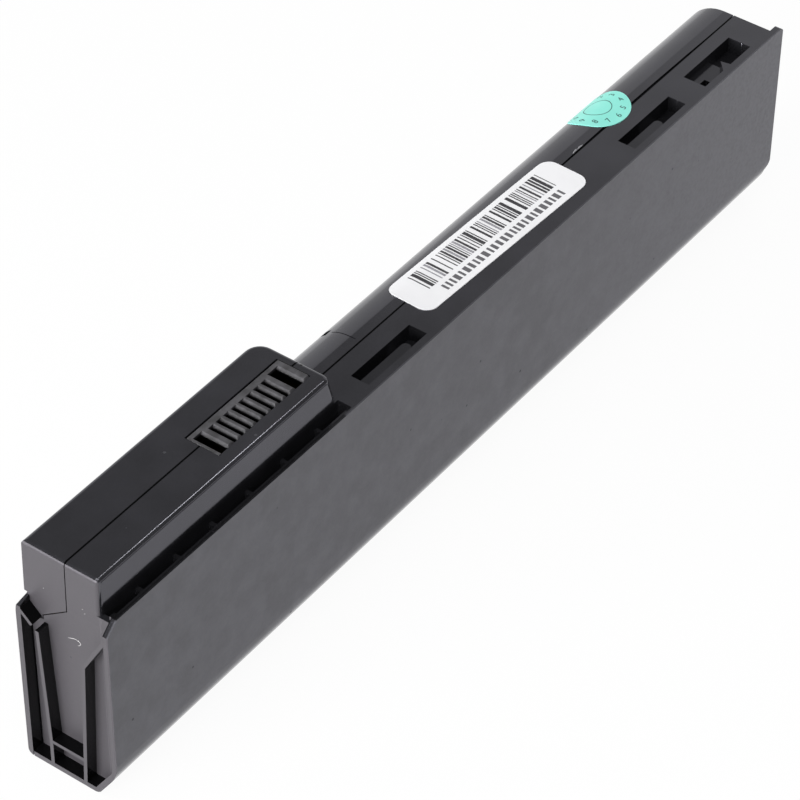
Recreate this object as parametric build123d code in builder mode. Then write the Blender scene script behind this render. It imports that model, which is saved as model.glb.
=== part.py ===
"""A six-cell laptop battery: two moulded shells, a blade connector, a circuit board and welded cells.

The pack stands on its long lower edge. X runs along it from the connector end to the far end, the big
front plate faces -Y, and the origin is in the middle of the underside. Sketches are drawn from the corner
where the near rim, the front plate and the underside meet.
"""

import os
from math import degrees

from build123d import *

# Cells and the straps that join them
cell_diameter = 18.35
cell_length = 65.1
cells_per_row = 3
cell_rows = 2
cell_gap = 0.125
row_gap = 0.3
cell_cap_radius = 4.2
cell_cap_rise = 0.3
cell_crimp_width = 1.6
cell_crimp_depth = 0.8
cell_crimp_from_end = 2.6
cell_end_radius = 0.7
ring_thickness = 0.25
ring_outer_radius = 8.2
ring_inner_radius = 4.6
strap_thickness = 0.15
strap_fold = 0.3
strap_width = 7.0
strap_reach = 4.0
strap_tab_width = 3.0

# Moulded walls
side_wall = 0.85
floor_wall = 1.5
roof_wall = 1.5
end_wall = 1.2
end_gap = 0.4
head_room = 2.475
near_bevel_depth = 4.45
far_bevel_depth = 5.45
bevel_slope = 1.54
bevel_top_radius = 8.0
bevel_bottom_radius = 1.8
back_bottom_radius = 1.2
top_back_radius = 8.2
far_corner_radius = 2.5
plate = 1.5

# Rims and ribs of the near end, and the lip of the far end
near_rim = 2.5
rim_wall = 1.1
rib = 0.75
back_rim_height = 36.2
back_rim_slope = 0.9
plate_rim_height = 40.2
notch_depth = 16.6
notch_height = 33.2
left_rib_foot = 14.7
cross_rib_height = 6.4
right_rib_top = 5.9
right_rib_foot = 7.4
right_rib_height = 30.0
far_lip = 2.5
lip_taper = 1.0
lip_top_radius = 0.9
lip_bottom_radius = 2.4
end_crease_height = 38.7
end_draft = 0.25

# Connector block, with the groove between it and the front plate
block_rise = 6.4
block_length = 62.6
block_front = 3.7
block_wall = 1.2
block_far_lean = 1.9
block_edge_radius = 0.8
block_near_corner = 0.9
block_front_corner = 1.6
block_back_corner = 3.2
plate_lip = 0.65
plate_lip_drop = 0.75
groove_length = 64.35
groove_depth = 4.2
groove_wall = 0.8
groove_sill = 1.7
groove_backing = 1.2
groove_rib_count = 6
groove_rib_start = 9.2
groove_rib_pitch = 9.7
groove_rib = 0.7
groove_rib_drop = 2.2

# Hook slots in the top: start and length along X, front edge and width along Y
slot_front = 1.75
slot_depth = 3.4
slot_wall = 0.8
near_slot_start = 73.2
middle_slot_start = 156.1
hook_slot_length = 17.1
hook_slot_width = 3.95
far_slot_start = 180.0
far_slot_length = 15.8
far_slot_width = 5.0
tongue_gap = 0.45
tongue_width = 1.9
tongue_drop = 0.8
near_tongue_length = 13.6
middle_tongue_length = 10.6
tongue_end_radius = 0.9
step_length = 8.6
step_drop = 1.7
step_hole_start = 1.2
step_hole_length = 2.4
step_hole_width = 2.0
prong_start = 6.3
prong_length = 2.55
prong_tip = 2.15
prong_reach = 2.05

# Parting line between the shells
block_seam = 11.1
body_seam = 10.0
seam_gap = 0.2
seam_lap = 1.0
seam_lap_drop = 0.75
seam_knee_height = 38.0
seam_bow = 0.35
seam_bow_start = 138.0
seam_bow_length = 60.0
mould_line_middle = 81.5
mould_line_width = 0.2
mould_line_depth = 0.1
mould_line_front = 11.0
mould_line_length = 5.3
mould_notch_width = 1.8
mould_notch_depth = 0.35
mould_notch_front = 17.0
mould_notch_length = 1.3

# Connector insert: blade slots with lead-ins between rounded fins, and the window that holds it
insert_gap = 0.12
insert_back_gap = 0.4
insert_near_wall = 0.58
insert_far_wall = 1.63
insert_back_wall = 0.88
insert_end_room = 0.5
insert_inset = 3.15
pin_count = 8
pin_pitch = 2.05
pin_slot_width = 0.65
pin_slot_length = 5.65
power_slot_width = 2.05
power_slot_length = 6.1
power_step = 3.25
lead_in = 0.45
fin_radius = 0.5
blade_depth = 4.6
pin_sheet = 0.18
power_sheet = 0.3
contact_fit = 0.04
contact_height = 1.8
contact_length = 3.6
contact_tail = 0.5
contact_tail_fit = 0.05

# Circuit board and what it carries
board_thickness = 1.0
board_lift = 1.25
board_gap = 0.25
board_end_gap = 0.2
ledge_reach = 0.9
ledge_thickness = 0.8
ledge_start = 6.0
ledge_length = 32.0
pad_width = 4.0
pad_start = 9.0
pad_length = 48.0
pad_gap = 0.05
chip_lead_sheet = 0.2
chip_lead_width = 0.35
chip_lead_reach = 0.8
chip_lead_pitch = 0.8
chip_standoff = 0.1
chip_width = 4.4
chip_height = 1.2
gauge_inset = 10.0
gauge_depth = 5.5
gauge_length = 9.6
gauge_lead_count = 11
guard_depth = 5.4
guard_lead_count = 6
switch_inset = 9.4
second_inset = 17.6
switch_depth = 11.3
switch_length = 5.0
switch_width = 3.9
power_height = 1.5
power_lead_count = 4
fuse_inset = 3.6
fuse_depth = 7.6
fuse_height = 1.4
fuse_cap = 1.2
resistor_inset = 2.4
resistor_depth = 7.0
resistor_height = 0.7
resistor_cap = 1.0
power_width = 3.2
power_length = 6.4
passive_width = 0.9
passive_length = 1.7
passive_height = 0.8
passive_cap = 0.4
passive_pitch = 2.4
front_passive_count = 5
front_passive_inset = 6.6
front_passive_depth = 1.5
back_passive_count = 2
back_passive_inset = 2.0
back_passive_depth = 11.6
gate_passive_inset = 14.2

# Leads
positive_lead_diameter = 1.6
sense_lead_diameter = 0.9
lead_gap = 0.05
positive_lead_inset = 5.1
low_lead_inset = 3.3
low_lead_drop = 5.0
high_lead_inset = 2.3
high_lead_drop = 6.0
lead_straight = 3.0
lead_tail = 5.8
lead_bend_length = 5.0
lead_bend_radius = 3.0
thermistor_diameter = 2.0
thermistor_length = 4.0
thermistor_start = 44.0
thermistor_offset = 6.25
thermistor_leg = 0.5
thermistor_gap = 0.05

# Paper and print
insulator_thickness = 0.25
insulator_margin = 0.4
insulator_gap = 0.05
label_thickness = 0.12
label_length = 48.6
label_width = 10.5
label_radius = 2.6
label_middle = 119.2
label_depth = 9.0
label_turn = -1.9
sticker_radius = 6.45
sticker_middle = 162.6
sticker_depth = 14.85
sticker_points = 24

# Overall sizes, which follow from the cells and the walls
cell_pitch = cell_length + 2 * strap_thickness + strap_fold
stack_start = near_rim + end_wall + end_gap + strap_thickness
stack_end = stack_start + (cells_per_row - 1) * cell_pitch + cell_length
body_end = stack_end + strap_thickness + end_gap + end_wall
length = body_end + far_lip
depth = 2 * (side_wall + cell_gap) + cell_diameter
row_pitch = cell_diameter + row_gap
cell_axis_depth = depth / 2
cell_axis_height = floor_wall + cell_gap + cell_diameter / 2
cells_top = cell_axis_height + (cell_rows - 1) * row_pitch + cell_diameter / 2
body_height = cells_top + head_room + roof_wall
block_top = body_height + block_rise
block_end = near_rim + block_length
inner_start = near_rim + end_wall
inner_end = body_end - end_wall
back_seam = depth - rim_wall
groove_floor = body_height - groove_depth
trough_bottom = groove_floor - groove_wall
trough_depth = block_front + groove_backing + groove_wall
board_bottom = cells_top + board_lift
board_top = board_bottom + board_thickness
cell_radius = cell_diameter / 2
power_pitch = (pin_count - 1) * pin_pitch + 2 * power_step
insert_length = insert_near_wall + power_slot_width + power_pitch + insert_far_wall
insert_width = power_slot_length + insert_back_wall
window_length = insert_length + 2 * insert_gap
window_width = insert_width + insert_gap + insert_back_gap
window_start = block_end - block_wall - insert_end_room - window_length
window_front = block_front + insert_inset
insert_start = window_start + insert_gap
insert_front = window_front + insert_gap
blade_middle = insert_start + insert_near_wall + (power_slot_width + power_pitch) / 2

corner_x = -length / 2
corner_y = -depth / 2


def section_plane(x: float) -> Plane:
    """Return the plane of a cross-section at x, where sketch axes are depth and height."""
    return Plane(origin=(corner_x + x, corner_y, 0), x_dir=(0, 1, 0), z_dir=(1, 0, 0))


def plan_plane(z: float) -> Plane:
    """Return the level plane at height z, where sketch axes are length and depth."""
    return Plane(origin=(corner_x, corner_y, z), x_dir=(1, 0, 0), z_dir=(0, 0, 1))


def face_plane(y: float) -> Plane:
    """Return the upright plane at depth y, where sketch axes are length and height, facing the front."""
    return Plane(origin=(corner_x, corner_y + y, 0), x_dir=(1, 0, 0), z_dir=(0, -1, 0))


def save(piece: BuildPart, name: str) -> None:
    """Label a finished piece and write it to its own file."""
    piece.part.label = name
    export_step(piece.part, f"parts/{name}.step")


def corner_box(x: float, y: float, z: float, x_size: float, y_size: float, z_size: float) -> Part:
    """Return a box that starts at a corner given in length, depth and height."""
    with BuildPart(plan_plane(z)) as box:
        with Locations((x + x_size / 2, y + y_size / 2, 0)):
            Box(x_size, y_size, z_size, align=(Align.CENTER, Align.CENTER, Align.MIN))
    return box.part


def body_outline(grow: float = 0) -> Sketch:
    """Return the body's section as a flat sketch, before its front foot is bevelled, grown all round."""
    with BuildSketch() as outline:
        Rectangle(depth, body_height, align=(Align.MIN, Align.MIN))
        fillet(outline.vertices().sort_by_distance((depth, 0))[0], back_bottom_radius)
        fillet(outline.vertices().sort_by_distance((depth, body_height))[0], top_back_radius)
        if grow != 0:
            offset(amount=grow, kind=Kind.INTERSECTION, mode=Mode.REPLACE)
    return outline.sketch


def body_section(x: float, grow: float = 0) -> Sketch:
    """Return the body's outer section, set upright at x."""
    with BuildSketch(section_plane(x)) as section:
        add(body_outline(grow))
    return section.sketch


def cavity_outline() -> Sketch:
    """Return the section of the space for the cells as a flat sketch, rounded like the lower cells."""
    with BuildSketch() as outline:
        with Locations((side_wall, floor_wall)):
            Rectangle(
                depth - 2 * side_wall,
                body_height - floor_wall - roof_wall,
                align=(Align.MIN, Align.MIN),
            )
        for point, radius in (
            ((0, 0), cell_radius + cell_gap),
            ((depth, 0), back_bottom_radius),
            ((depth, body_height), top_back_radius - roof_wall),
        ):
            fillet(outline.vertices().sort_by_distance(point)[0], radius)
    return outline.sketch


def cover_space(grow: float) -> Part:
    """Return the space that the back cover takes, grown by the parting gap where the front case is cut."""
    with BuildPart() as space:
        for start, end, seam, top, roof, lap_start, lap_end in (
            (-plate, block_end, block_seam, block_top, block_wall, inner_start, block_end - block_wall),
            (block_end, length + plate, body_seam, body_height, roof_wall, block_end, inner_end),
        ):
            with BuildSketch(section_plane(start)) as outline:
                with BuildLine():
                    Polyline(
                        (seam, block_top + plate),
                        (depth + plate, block_top + plate),
                        (depth + plate, -plate),
                        (back_seam, -plate),
                        (back_seam, notch_height - rib),
                        (notch_depth, notch_height),
                        (notch_depth, notch_height + rib),
                        (seam, seam_knee_height),
                        close=True,
                    )
                make_face()
                if grow > 0:
                    offset(amount=grow, kind=Kind.INTERSECTION)
            extrude(amount=end - start)
            with BuildSketch(section_plane(lap_start)) as lap:
                with Locations((seam, top - seam_lap_drop + grow)):
                    Rectangle(seam_lap + grow, roof - seam_lap_drop + grow, align=(Align.MAX, Align.MAX))
            extrude(amount=lap_end - lap_start)
    return space.part


os.makedirs("parts", exist_ok=True)

# Body as a solid: a long bar whose front foot is bevelled, more so towards the far end
with BuildPart() as body:
    extrude(body_section(0), amount=length)
    near_foot = Vector(corner_x, corner_y + near_bevel_depth, 0)
    near_top = Vector(corner_x, corner_y, near_bevel_depth * bevel_slope)
    far_foot = Vector(corner_x + length, corner_y + far_bevel_depth, 0)
    bevel_run = far_foot - near_foot
    bevel = Plane(origin=near_foot, x_dir=bevel_run, z_dir=(near_top - near_foot).cross(bevel_run))
    split(bisect_by=bevel, keep=Keep.TOP)
    mean_depth = (near_bevel_depth + far_bevel_depth) / 2
    for middle, radius in (
        ((0, corner_y, mean_depth * bevel_slope), bevel_top_radius),
        ((0, corner_y + mean_depth, 0), bevel_bottom_radius),
    ):
        fillet(body.edges().sort_by_distance(middle)[0], radius)

# Connector block: its far end leans back from a wider foot, and its upright and top edges are rounded
with BuildPart() as block:
    block_height = block_top - trough_bottom
    far_run = block_far_lean * block_height / block_rise
    with BuildSketch(face_plane(depth)) as front_view:
        with BuildLine():
            Polyline(
                (near_rim, trough_bottom),
                (block_end + far_run, trough_bottom),
                (block_end, block_top),
                (near_rim + end_draft, block_top),
                (near_rim, end_crease_height),
                close=True,
            )
        make_face()
    extrude(amount=depth - block_front)
    upright = block.edges().filter_by(lambda edge: abs(edge.tangent_at(0.5).Z) > 0.5)
    front_edges = upright.group_by(Axis.Y)[0].sort_by(Axis.X)
    back_edges = upright.group_by(Axis.Y)[-1].sort_by(Axis.X)
    fillet(back_edges[-1], block_back_corner)
    fillet(front_edges[-1], block_front_corner)
    fillet(front_edges[:-1], block_near_corner)
    fillet(block.faces().sort_by(Axis.Z)[-1].edges(), block_edge_radius)

# Lip of the far end: the front plate runs on past the end wall and leans in towards its foot
with BuildPart() as lip:
    with BuildSketch(face_plane(0)) as tip:
        with BuildLine():
            Polyline(
                (inner_end, far_bevel_depth * bevel_slope),
                (length - lip_taper, far_bevel_depth * bevel_slope),
                (length, body_height),
                (inner_end, body_height),
                close=True,
            )
        make_face()
        fillet(tip.vertices().sort_by_distance((length, body_height))[0], lip_top_radius)
        fillet(tip.vertices().sort_by_distance((length, 0))[0], lip_bottom_radius)
    extrude(amount=-plate)
    add(body.part, mode=Mode.INTERSECT)

# Rims and ribs of the near end, which stand out from the end wall
with BuildPart() as rims:
    with BuildSketch(section_plane(0)) as frame:
        Rectangle(depth, body_height, align=(Align.MIN, Align.MIN))
        with BuildSketch(mode=Mode.SUBTRACT):
            with BuildLine():
                Polyline(
                    (near_bevel_depth, 0),
                    (depth, 0),
                    (depth, body_height),
                    (0, body_height),
                    (0, near_bevel_depth * bevel_slope),
                    close=True,
                )
            make_face()
            offset(amount=-rim_wall, kind=Kind.INTERSECTION, mode=Mode.REPLACE)
        with Locations((depth / 2, back_rim_height)):
            Rectangle(depth, body_height, align=(Align.MIN, Align.MIN), mode=Mode.SUBTRACT)
        with Locations((depth / 2, plate_rim_height)):
            Rectangle(depth, body_height, align=(Align.MAX, Align.MIN), mode=Mode.SUBTRACT)
        with BuildLine() as left_ribs:
            Polyline(
                (depth - rim_wall / 2, back_rim_height - rib / 2),
                (notch_depth + rib / 2, notch_height),
            )
        trace(line_width=rib)
        with BuildLine() as middle_ribs:
            Polyline(
                (notch_depth - rib, notch_height - rib),
                (left_rib_foot, cross_rib_height),
                (left_rib_foot, rib / 2),
            )
        trace(line_width=rib)
        with BuildLine() as cross_ribs:
            Line((left_rib_foot, cross_rib_height), (right_rib_foot, cross_rib_height))
        trace(line_width=rib)
        with BuildLine() as right_ribs:
            Polyline(
                (rim_wall / 2, plate_rim_height - rib),
                (right_rib_top, right_rib_height),
                (right_rib_foot, rib / 2),
            )
        trace(line_width=rib)
    extrude(amount=near_rim)
    with BuildSketch(face_plane(depth)) as back_slope:
        with BuildLine():
            Polyline(
                (0, back_rim_height),
                (near_rim, back_rim_height),
                (near_rim, back_rim_height + back_rim_slope),
                close=True,
            )
        make_face()
    extrude(amount=rim_wall)
    with BuildSketch(face_plane(0)) as plate_slope:
        with BuildLine():
            Polyline(
                (0, plate_rim_height),
                (near_rim, plate_rim_height),
                (near_rim, body_height),
                close=True,
            )
        make_face()
    extrude(amount=-rim_wall)
    add(body.part, mode=Mode.INTERSECT)

# Whole housing, before it is parted into the two shells
with BuildPart() as housing:
    add(body.part)
    with BuildSketch(plan_plane(0)) as footprint:
        with Locations((near_rim, 0)):
            Rectangle(body_end - near_rim, depth, align=(Align.MIN, Align.MIN))
        fillet(footprint.vertices().sort_by_distance((body_end, depth))[0], far_corner_radius)
    extrude(amount=body_height, mode=Mode.INTERSECT)
    with BuildSketch(section_plane(inner_start)) as cavity:
        add(cavity_outline())
    extrude(amount=inner_end - inner_start, mode=Mode.SUBTRACT)

    # Trough that carries the groove, and the pockets that carry the hook slots
    add(
        corner_box(
            near_rim,
            0,
            trough_bottom,
            groove_length + groove_backing + groove_wall,
            trough_depth,
            body_height - trough_bottom,
        )
    )
    for start, size, width in (
        (near_slot_start, hook_slot_length, hook_slot_width),
        (middle_slot_start, hook_slot_length, hook_slot_width),
        (far_slot_start, far_slot_length, far_slot_width),
    ):
        pocket_height = slot_depth + slot_wall
        add(
            corner_box(
                start - slot_wall,
                0,
                body_height - pocket_height,
                size + 2 * slot_wall,
                slot_front + width + slot_wall,
                pocket_height,
            )
        )

    # Groove behind the front plate, as long as the foot of the block
    with BuildSketch(plan_plane(groove_floor)) as groove:
        with BuildLine():
            Polyline(
                (inner_start, plate),
                (near_rim + groove_length, plate),
                (near_rim + groove_length, block_front),
                (inner_start, block_front),
                close=True,
            )
        make_face()
    extrude(amount=groove_depth, mode=Mode.SUBTRACT)
    sill_width = block_front + block_near_corner - plate
    groove_end = near_rim + groove_length
    lip_bottom = body_height - plate_lip_drop
    lip_width = plate - plate_lip
    for cut in (
        corner_box(near_rim, plate, body_height - groove_sill, end_wall, sill_width, groove_sill),
        corner_box(inner_start, plate_lip, lip_bottom, groove_end - inner_start, lip_width, plate_lip_drop),
    ):
        add(cut, mode=Mode.SUBTRACT)

    # End wall of the connector block, which leans back above a crease
    with BuildSketch(face_plane(plate)) as leaning_end:
        with BuildLine():
            Polyline(
                (near_rim, end_crease_height),
                (near_rim, block_top),
                (near_rim + end_draft, block_top),
                close=True,
            )
        make_face()
    extrude(amount=plate - depth, mode=Mode.SUBTRACT)
    add(block.part)
    block_inner_length = block_length - end_wall - block_wall
    add(
        corner_box(
            inner_start,
            block_front + block_wall,
            trough_bottom,
            block_inner_length,
            depth - side_wall - block_front - block_wall,
            block_height - block_wall,
        ),
        mode=Mode.SUBTRACT,
    )
    with BuildSketch(section_plane(block_end - block_wall)) as lead_way:
        add(cavity_outline())
        Rectangle(trough_depth, block_top, align=(Align.MIN, Align.MIN), mode=Mode.SUBTRACT)
    extrude(amount=block_wall + far_run, mode=Mode.SUBTRACT)
    for count in range(groove_rib_count):
        rib_x = groove_rib_start + count * groove_rib_pitch
        rib_height = groove_depth - groove_rib_drop
        add(corner_box(near_rim + rib_x, plate, groove_floor, groove_rib, block_front - plate, rib_height))

    # Hook slots, each with the step or tongue that the hook of the laptop slides over
    for start, tongue in ((near_slot_start, near_tongue_length), (middle_slot_start, middle_tongue_length)):
        with BuildSketch(plan_plane(body_height)) as hook_slot:
            with Locations((start, slot_front)):
                Rectangle(hook_slot_length, hook_slot_width, align=(Align.MIN, Align.MIN))
        extrude(amount=-slot_depth, mode=Mode.SUBTRACT)
        with BuildSketch(plan_plane(body_height - slot_depth)) as tongue_plan:
            with Locations((start, slot_front + tongue_gap)):
                Rectangle(tongue, tongue_width, align=(Align.MIN, Align.MIN))
            fillet(tongue_plan.vertices().group_by(Axis.X)[-1], tongue_end_radius)
        extrude(amount=slot_depth - tongue_drop)
    with BuildSketch(plan_plane(body_height)) as far_slot:
        with Locations((far_slot_start, slot_front)):
            Rectangle(far_slot_length, far_slot_width, align=(Align.MIN, Align.MIN))
    extrude(amount=-slot_depth, mode=Mode.SUBTRACT)
    add(
        corner_box(
            far_slot_start,
            slot_front + tongue_gap,
            body_height - slot_depth,
            step_length,
            far_slot_width - tongue_gap,
            slot_depth - step_drop,
        )
    )
    add(
        corner_box(
            far_slot_start + step_hole_start,
            slot_front + tongue_gap,
            body_height - slot_depth,
            step_hole_length,
            step_hole_width,
            slot_depth - step_drop,
        ),
        mode=Mode.SUBTRACT,
    )
    with BuildSketch(plan_plane(body_height - slot_depth)) as prong:
        with BuildLine():
            Polyline(
                (far_slot_start + prong_start, slot_front),
                (far_slot_start + prong_start + prong_length, slot_front),
                (far_slot_start + prong_start + prong_tip, slot_front + prong_reach),
                close=True,
            )
        make_face()
    extrude(amount=slot_depth)

    # Window for the connector insert
    with BuildSketch(plan_plane(block_top)) as window:
        with Locations((window_start, window_front)):
            Rectangle(window_length, window_width, align=(Align.MIN, Align.MIN))
    extrude(amount=-block_wall, mode=Mode.SUBTRACT)

    # Ledges that carry the circuit board, on the front and back walls of the block
    for ledge_depth in (block_front + block_wall, depth - side_wall - ledge_reach):
        add(
            corner_box(
                ledge_start,
                ledge_depth,
                board_bottom - ledge_thickness,
                ledge_length,
                ledge_reach,
                ledge_thickness,
            )
        )
    add(rims.part)
    add(lip.part)

# The two shells, parted along the seam
with BuildPart() as front_case:
    add(housing.part)
    add(cover_space(seam_gap), mode=Mode.SUBTRACT)
save(front_case, "front_case")

with BuildPart() as back_cover:
    add(housing.part)
    add(cover_space(0), mode=Mode.INTERSECT)

    # The cover's edge bows away from the front case towards the far end
    with BuildSketch(plan_plane(body_height - seam_lap_drop)) as bow:
        with BuildLine():
            bow_end = seam_bow_start + seam_bow_length
            Line((bow_end, body_seam), (seam_bow_start, body_seam))
            ThreePointArc(
                (seam_bow_start, body_seam),
                (seam_bow_start + seam_bow_length / 2, body_seam + seam_bow),
                (bow_end, body_seam),
            )
        make_face()
    extrude(amount=seam_lap_drop, mode=Mode.SUBTRACT)

    # Line left by the mould across the cover, with a notch behind it
    for mark_front, mark_length, mark_width, mark_depth in (
        (mould_line_front, mould_line_length, mould_line_width, mould_line_depth),
        (mould_notch_front, mould_notch_length, mould_notch_width, mould_notch_depth),
    ):
        with BuildSketch(section_plane(mould_line_middle - mark_width / 2)) as mark:
            add(body_outline())
            add(body_outline(-mark_depth), mode=Mode.SUBTRACT)
            with Locations((mark_front, body_height)):
                Rectangle(mark_length, top_back_radius, align=(Align.MIN, Align.MAX), mode=Mode.INTERSECT)
        extrude(amount=mark_width, mode=Mode.SUBTRACT)
save(back_cover, "back_cover")

# Connector insert, with blade slots that are open at the top and the front
blade_floor = block_top - blade_depth
pin_starts = [blade_middle + (count - (pin_count - 1) / 2) * pin_pitch for count in range(pin_count)]
power_starts = [blade_middle - power_pitch / 2, blade_middle + power_pitch / 2]
contact_middle = insert_front + power_slot_length / 2

with BuildPart() as connector_housing:
    add(
        corner_box(
            insert_start,
            insert_front,
            board_top,
            insert_length,
            insert_width,
            block_top - board_top,
        )
    )
    for middles, width, slot in (
        (pin_starts, pin_slot_width, pin_slot_length),
        (power_starts, power_slot_width, power_slot_length),
    ):
        with BuildSketch(plan_plane(block_top)) as blade_slots:
            with Locations(*[(middle, insert_front) for middle in middles]):
                Rectangle(width, slot, align=(Align.CENTER, Align.MIN))
        extrude(amount=-blade_depth, mode=Mode.SUBTRACT)
        with BuildSketch(plan_plane(board_top)) as tail_holes:
            with Locations(*[(middle, contact_middle) for middle in middles]):
                Rectangle(contact_tail + 2 * contact_tail_fit, contact_tail + 2 * contact_tail_fit)
        extrude(amount=blade_floor - board_top, mode=Mode.SUBTRACT)
    fin_edges = connector_housing.edges().filter_by(Axis.Z).group_by(Axis.Y)[0].sort_by(Axis.X)
    fillet(fin_edges[2:-1], fin_radius)
    slot_edges = connector_housing.edges().filter_by(Axis.Y).group_by(Axis.Z)[-1].sort_by(Axis.X)
    chamfer(slot_edges[2:-1], lead_in)
save(connector_housing, "connector_housing")

# Sprung contacts: a folded sheet in each blade slot, with a tail down to the board
for name, middles, slot, sheet in (
    ("signal_contacts", pin_starts, pin_slot_width, pin_sheet),
    ("power_contacts", power_starts, power_slot_width, power_sheet),
):
    contact_width = slot - 2 * contact_fit
    with BuildPart() as contacts:
        with BuildSketch(face_plane(contact_middle - contact_length / 2)) as fork:
            with Locations(*[(middle, blade_floor) for middle in middles]):
                Rectangle(contact_width, contact_height, align=(Align.CENTER, Align.MIN))
            with Locations(*[(middle, blade_floor + sheet) for middle in middles]):
                Rectangle(
                    contact_width - 2 * sheet,
                    contact_height,
                    align=(Align.CENTER, Align.MIN),
                    mode=Mode.SUBTRACT,
                )
        extrude(amount=-contact_length)
        with BuildSketch(plan_plane(board_top)) as tails:
            with Locations(*[(middle, contact_middle) for middle in middles]):
                Rectangle(contact_tail, contact_tail)
        extrude(amount=blade_floor - board_top)
    save(contacts, name)

# Circuit board, lying on the ledges of the two shells
board_start = inner_start + board_end_gap
board_end = block_end - block_wall - board_gap
board_front = block_front + block_wall + board_gap
board_back = depth - side_wall - board_gap
with BuildPart() as circuit_board:
    add(
        corner_box(
            board_start,
            board_front,
            board_bottom,
            board_end - board_start,
            board_back - board_front,
            board_thickness,
        )
    )
save(circuit_board, "circuit_board")

# Chips on the board: a moulded body with bent leads on two sides
gauge_x = board_start + gauge_inset
charge_x = insert_start - switch_inset
gate_x = insert_start - second_inset
for name, chip_x, from_front, size_x, size_y, height, leads in (
    ("gauge_chip", gauge_x, gauge_depth, gauge_length, chip_width, chip_height, gauge_lead_count),
    ("protection_chip", charge_x, guard_depth, switch_length, chip_width, chip_height, guard_lead_count),
    ("charge_switch", charge_x, switch_depth, switch_length, switch_width, power_height, power_lead_count),
    ("discharge_switch", gate_x, switch_depth, switch_length, switch_width, power_height, power_lead_count),
):
    chip_y = board_front + from_front
    with BuildPart() as chip:
        with BuildSketch(plan_plane(board_top + chip_standoff)) as body:
            with Locations((chip_x, chip_y)):
                Rectangle(size_x, size_y)
        extrude(amount=height)
        chamfer(chip.edges().group_by(Axis.Z)[-1], chip_lead_sheet)
        with BuildSketch(plan_plane(board_top)) as feet:
            with Locations((chip_x, chip_y)):
                with GridLocations(chip_lead_pitch, size_y + chip_lead_reach, leads, 2):
                    Rectangle(chip_lead_width, chip_lead_reach)
        extrude(amount=chip_lead_sheet)
        with BuildSketch(plan_plane(board_top)) as shoulders:
            with Locations((chip_x, chip_y)):
                with GridLocations(chip_lead_pitch, size_y, leads, 2):
                    Rectangle(chip_lead_width, chip_lead_reach)
        extrude(amount=height / 2)
    save(chip, name)

# Two-ended parts on the board: a body between two metal ends
passive_places = [(insert_start - gate_passive_inset, switch_depth)]
for row_inset, row_depth, row_count in (
    (front_passive_inset, front_passive_depth, front_passive_count),
    (back_passive_inset, back_passive_depth, back_passive_count),
):
    row_start = board_start + row_inset
    passive_places += [(row_start + count * passive_pitch, row_depth) for count in range(row_count)]
fuse_place = (insert_start - fuse_inset, fuse_depth)
resistor_place = (board_start + resistor_inset, resistor_depth)
for name, places, size_x, size_y, height, cap in (
    ("fuse", [fuse_place], power_width, power_length, fuse_height, fuse_cap),
    ("sense_resistor", [resistor_place], power_width, power_length, resistor_height, resistor_cap),
    ("board_passives", passive_places, passive_width, passive_length, passive_height, passive_cap),
):
    spots = [(part_x, board_front + from_front) for part_x, from_front in places]
    with BuildPart() as piece:
        with BuildSketch(plan_plane(board_top)) as bodies:
            with Locations(*spots):
                Rectangle(size_x, size_y)
        extrude(amount=height)
        with BuildSketch(plan_plane(board_top + height)) as waists:
            with Locations(*spots):
                Rectangle(size_x, size_y - 2 * cap)
        extrude(amount=-height / 8, mode=Mode.SUBTRACT)
    save(piece, name)

# Cells: a drawn can, crimped below the rim, with a raised cap at the positive end
can_length = cell_length - cell_cap_rise
crimp_end = can_length - cell_crimp_from_end
row_heights = [cell_axis_height + row * row_pitch for row in range(cell_rows)]
column_starts = [stack_start + column * cell_pitch for column in range(cells_per_row)]
for row, height in enumerate(row_heights):
    for column, start in enumerate(column_starts):
        axis_plane = Plane(origin=(corner_x + start, 0, height), x_dir=(1, 0, 0), z_dir=(0, -1, 0))
        with BuildPart() as cell:
            with BuildSketch(axis_plane) as half:
                with BuildLine():
                    Polyline(
                        (crimp_end - cell_crimp_width, cell_radius),
                        (0, cell_radius),
                        (0, 0),
                        (cell_length, 0),
                        (cell_length, cell_cap_radius),
                        (can_length, cell_cap_radius),
                        (can_length, cell_radius),
                        (crimp_end, cell_radius),
                    )
                    ThreePointArc(
                        (crimp_end, cell_radius),
                        (crimp_end - cell_crimp_width / 2, cell_radius - cell_crimp_depth),
                        (crimp_end - cell_crimp_width, cell_radius),
                    )
                make_face()
                for corner in ((0, cell_radius), (can_length, cell_radius)):
                    fillet(half.vertices().sort_by_distance(corner)[0], cell_end_radius)
            revolve(axis=Axis(axis_plane.origin, (1, 0, 0)))
        save(cell, f"cell_{row * cells_per_row + column + 1}")

with BuildPart() as insulating_rings:
    for start in column_starts:
        with BuildSketch(section_plane(start + can_length)) as washers:
            with Locations(*[(cell_axis_depth, height) for height in row_heights]):
                Circle(ring_outer_radius)
                Circle(ring_inner_radius, mode=Mode.SUBTRACT)
        extrude(amount=ring_thickness)
save(insulating_rings, "insulating_rings")


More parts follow.
